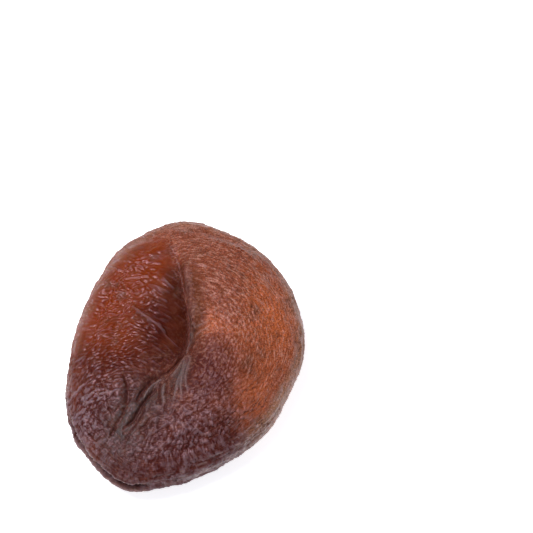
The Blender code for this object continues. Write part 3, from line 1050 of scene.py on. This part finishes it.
class ApricotSettings(bpy.types.PropertyGroup):
    """Sizes and colours of the fruit."""

    grid_across: bpy.props.IntProperty(
        name="Grid across", description="Faces across the top of the skin",
        default=GRID_ACROSS, min=40,
    )
    grid_rows: bpy.props.IntProperty(
        name="Grid rows", description="Rows of faces down the rim", default=GRID_ROWS, min=8,
    )
    wrinkle_share: bpy.props.FloatProperty(
        name="Wrinkling", description="Height of the fine wrinkles against the real ones",
        default=1.0, min=0.0, max=1.5, subtype="FACTOR",
    )
    flesh_brown: bpy.props.FloatVectorProperty(
        name="Flesh", description="Brown of most of the skin",
        subtype="COLOR", size=4, default=linear("#7F412B"),
    )
    # Partly the flesh's orange, partly painted light shining through the thin flesh.
    glow_colour: bpy.props.FloatVectorProperty(
        name="Glow", description="Orange where the flesh is thin and bright",
        subtype="COLOR", size=4, default=linear("#A8562F"),
    )
    amber_colour: bpy.props.FloatVectorProperty(
        name="Amber", description="Orange of the glassy flesh on the left lobe",
        subtype="COLOR", size=4, default=linear("#7A2D03"),
    )
    garnet_colour: bpy.props.FloatVectorProperty(
        name="Garnet", description="Deep red brown of the glassy flesh by the crease",
        subtype="COLOR", size=4, default=linear("#481408"),
    )
    lip_colour: bpy.props.FloatVectorProperty(
        name="Lip", description="Yellow brown of the matte roll beside the crease",
        subtype="COLOR", size=4, default=linear("#5E2C12"),
    )
    # Painted shade: dark red put down in the crease.
    crease_shade_colour: bpy.props.FloatVectorProperty(
        name="Deep", description="Dark red of the flesh down in the crease",
        subtype="COLOR", size=4, default=linear("#441408"),
    )
    dusk_colour: bpy.props.FloatVectorProperty(
        name="Dusk", description="Plum brown of the oldest, leathery skin",
        subtype="COLOR", size=4, default=linear("#421510"),
    )
    # Partly the dry skin's tan, partly painted light on the rim.
    rim_colour: bpy.props.FloatVectorProperty(
        name="Rim", description="Tan of the dry skin round the rim",
        subtype="COLOR", size=4, default=linear("#8C6650"),
    )
    pale_colour: bpy.props.FloatVectorProperty(
        name="Dry lines", description="Pale grey tan of the bead, the slit's lips and the lines",
        subtype="COLOR", size=4, default=linear("#A48A88"),
    )
    # Painted shade: near black put down in the slit.
    slit_shade_colour: bpy.props.FloatVectorProperty(
        name="Slit", description="Near black brown down in the slit",
        subtype="COLOR", size=4, default=linear("#1C0E0A"),
    )
    # Painted shade at the bottoms of the wrinkles, and the dark gaps between the felt's fibres.
    groove_colour: bpy.props.FloatVectorProperty(
        name="Grooves", description="Dark red brown between the wrinkles",
        subtype="COLOR", size=4, default=linear("#38140E"),
    )
    fibre_colour: bpy.props.FloatVectorProperty(
        name="Fibres", description="Dry pinkish tan of the felted cuticle",
        subtype="COLOR", size=4, default=linear("#AE7A6C"),
    )
    # Painted sheen: the pinkish highlight put on the wrinkles' crests.
    crest_colour: bpy.props.FloatVectorProperty(
        name="Crests", description="Dry pinkish cuticle on the wrinkles",
        subtype="COLOR", size=4, default=linear("#8C757E"),
    )
    bloom_colour: bpy.props.FloatVectorProperty(
        name="Bloom", description="Grey sugar bloom in the folds",
        subtype="COLOR", size=4, default=linear("#4A4241"),
    )


class StudioSettings(bpy.types.PropertyGroup):
    """Floor, light and camera."""

    paper_white: bpy.props.FloatVectorProperty(
        name="Paper", description="Colour of the floor", subtype="COLOR", size=4,
        default=linear("#F4F6FA"),
    )
    paper_glow: bpy.props.FloatProperty(
        name="Paper glow", description="Light that comes through the paper from below",
        default=0.8, min=0.0,
    )
    paper_size: bpy.props.FloatProperty(
        name="Paper size", description="Side of the square floor", default=3.0, unit="LENGTH",
    )
    key_power: bpy.props.FloatProperty(
        name="Key light", description="Power of the soft light", default=3.0, unit="POWER",
    )
    key_size: bpy.props.FloatProperty(
        name="Key size", description="Side of the soft light", default=0.20, unit="LENGTH",
    )
    room_light: bpy.props.FloatProperty(
        name="Room light", description="Strength of the white walls round it",
        default=0.6, min=0.0,
    )
    camera_elevation: bpy.props.FloatProperty(
        name="Elevation", description="Camera's angle above the floor",
        default=math.radians(66.0), subtype="ANGLE",
    )
    camera_lens: bpy.props.FloatProperty(
        name="Lens", description="Focal length in millimetres on a 36 mm wide sensor",
        default=200.0,
    )


class OBJECT_OT_dried_apricot(bpy.types.Operator):
    """Build the wrinkled fruit in place of its plain solid"""

    bl_idname = "object.dried_apricot"
    bl_label = "Dried Apricot"
    bl_options = {"REGISTER", "UNDO"}

    def execute(self, context):
        settings = context.scene.apricot_settings
        mesh = make_skin_mesh(settings.grid_across, settings.grid_rows, settings.wrinkle_share)
        thin_underside(mesh)
        mesh.shade_smooth()
        mesh.materials.append(dried_skin_material(settings))
        skin = bpy.data.objects.new("apricot_skin", mesh)
        context.scene.collection.objects.link(skin)
        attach(skin, "root")
        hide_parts(NODE)
        return {"FINISHED"}


class SCENE_OT_apricot_studio(bpy.types.Operator):
    """Build the pale floor, the soft light and the camera"""

    bl_idname = "scene.apricot_studio"
    bl_label = "Apricot Studio"
    bl_options = {"REGISTER", "UNDO"}

    def execute(self, context):
        settings = context.scene.apricot_studio
        scene = context.scene
        grid = bmesh.new()
        bmesh.ops.create_grid(grid, x_segments=8, y_segments=8, size=settings.paper_size / 2)
        mesh = bpy.data.meshes.new("paper_floor")
        grid.to_mesh(mesh)
        grid.free()
        mesh.materials.append(paper_material(settings))
        floor = bpy.data.objects.new("paper_floor", mesh)
        scene.collection.objects.link(floor)

        key = bpy.data.lights.new("key_softbox", "AREA")
        key.energy = settings.key_power
        key.size = settings.key_size
        softbox = bpy.data.objects.new("key_softbox", key)
        softbox.location = KEY_PLACE
        softbox.rotation_euler = (-Vector(KEY_PLACE)).to_track_quat("-Z", "Y").to_euler()
        scene.collection.objects.link(softbox)

        world = bpy.data.worlds.new("white_room")
        world.use_nodes = True
        tree = world.node_tree
        # The room is brightest over the fruit's left side and dimmer towards the floor.
        direction = add(tree, "ShaderNodeTexCoord").outputs["Generated"]
        towards = {0: direction, 1: Vector(LIGHT_FROM).normalized()}
        facing = add(tree, "ShaderNodeVectorMath", towards, operation="DOT_PRODUCT")
        fading = (facing.outputs["Value"], *DIM_SPAN, DIM_SHARE, 1.0)
        share = add(tree, "ShaderNodeMapRange", dict(zip(SPAN_SOCKETS, fading))).outputs["Result"]
        inputs = {0: share, 1: settings.room_light}
        level = add(tree, "ShaderNodeMath", inputs, operation="MULTIPLY")
        background = tree.nodes["Background"]
        background.inputs["Color"].default_value = linear("#FFFFFF")
        tree.links.new(level.outputs[0], background.inputs["Strength"])
        scene.world = world
        scene.view_settings.view_transform = "Standard"

        lens = bpy.data.cameras.new("camera")
        lens.lens = settings.camera_lens
        lens.sensor_width = SENSOR
        camera = bpy.data.objects.new("camera", lens)
        distance = FRAME_PIXELS / PIXELS_PER_MM * settings.camera_lens / SENSOR * MM
        elevation = settings.camera_elevation
        back = Vector((0, -math.cos(elevation), math.sin(elevation)))
        aim = Vector((*VIEW_CENTRE, 0)) * MM
        camera.location = aim + back * distance
        camera.rotation_euler = (-back).to_track_quat("-Z", "Y").to_euler()
        scene.collection.objects.link(camera)
        scene.camera = camera
        return {"FINISHED"}


class VIEW3D_PT_dried_apricot(bpy.types.Panel):
    """Lists the fruit's and the studio's settings"""

    bl_label = "Dried Apricot"
    bl_space_type = "VIEW_3D"
    bl_region_type = "UI"
    bl_category = "Apricot"

    def draw(self, context):
        for settings, operator in (
            (context.scene.apricot_settings, "object.dried_apricot"),
            (context.scene.apricot_studio, "scene.apricot_studio"),
        ):
            box = self.layout.box()
            for name in settings.__annotations__:
                box.prop(settings, name)
            box.operator(operator)


CLASSES = (
    ApricotSettings,
    StudioSettings,
    OBJECT_OT_dried_apricot,
    SCENE_OT_apricot_studio,
    VIEW3D_PT_dried_apricot,
)


def register():
    """Adds the classes and their settings to Blender."""
    for kind in CLASSES:
        bpy.utils.register_class(kind)
    bpy.types.Scene.apricot_settings = bpy.props.PointerProperty(type=ApricotSettings)
    bpy.types.Scene.apricot_studio = bpy.props.PointerProperty(type=StudioSettings)


def unregister():
    """Takes them out again."""
    del bpy.types.Scene.apricot_studio
    del bpy.types.Scene.apricot_settings
    for kind in reversed(CLASSES):
        bpy.utils.unregister_class(kind)


def main():
    """Builds the studio and the fruit."""
    register()
    bpy.ops.scene.apricot_studio()
    bpy.ops.object.dried_apricot()


if __name__ == "__main__":
    main()
